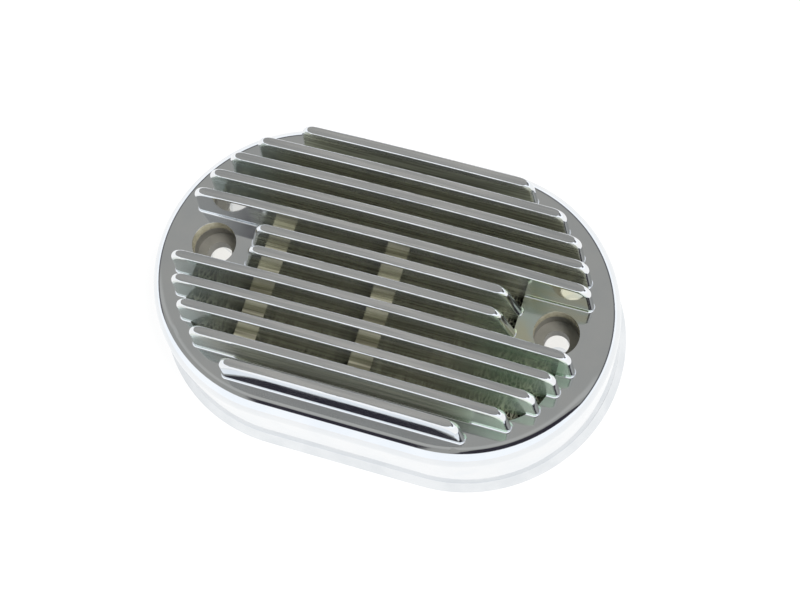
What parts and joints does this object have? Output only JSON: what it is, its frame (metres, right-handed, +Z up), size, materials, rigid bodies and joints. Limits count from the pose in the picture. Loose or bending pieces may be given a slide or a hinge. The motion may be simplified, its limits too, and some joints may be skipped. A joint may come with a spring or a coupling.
{
  "type": "air filter housing",
  "caption": "Oval finned air filter housing: plated cover with crowned fins over a windowed deck, back plate, foam pad, support screen and intake ring.",
  "frame": {"origin": "middle of the back plate's lower face, which is the middle of the housing's lower side", "axes": "+X along the fins and the long side, +Z up from the back plate through the fins, +Y across the fins"},
  "size_m": [0.1346, 0.0892, 0.0408],
  "materials": {
    "plated_cover": "bright plating, polished down to a satin face on the fin tops",
    "plated_plate": "bright plating",
    "seal_rubber": "dull black",
    "sleeve_steel": "turned, bright zinc plated",
    "filter_foam": "open-cell foam, lightly oiled",
    "screen_steel": "zinc plated punched sheet",
    "ring_aluminium": "turned",
    "screw_steel": "zinc plated",
    "gasket_fibre": "pressed fibre sheet"
  },
  "bodies": {
    "root": {"finned_cover": "plated_cover", "back_plate": "plated_plate", "rim_seal": "seal_rubber", "spacer_sleeves": "sleeve_steel", "filter_pad": "filter_foam", "support_screen": "screen_steel", "screen_legs": "screen_steel", "intake_ring": "ring_aluminium", "ring_screws": "screw_steel", "carb_gasket": "gasket_fibre"}
  },
  "joints": []
}
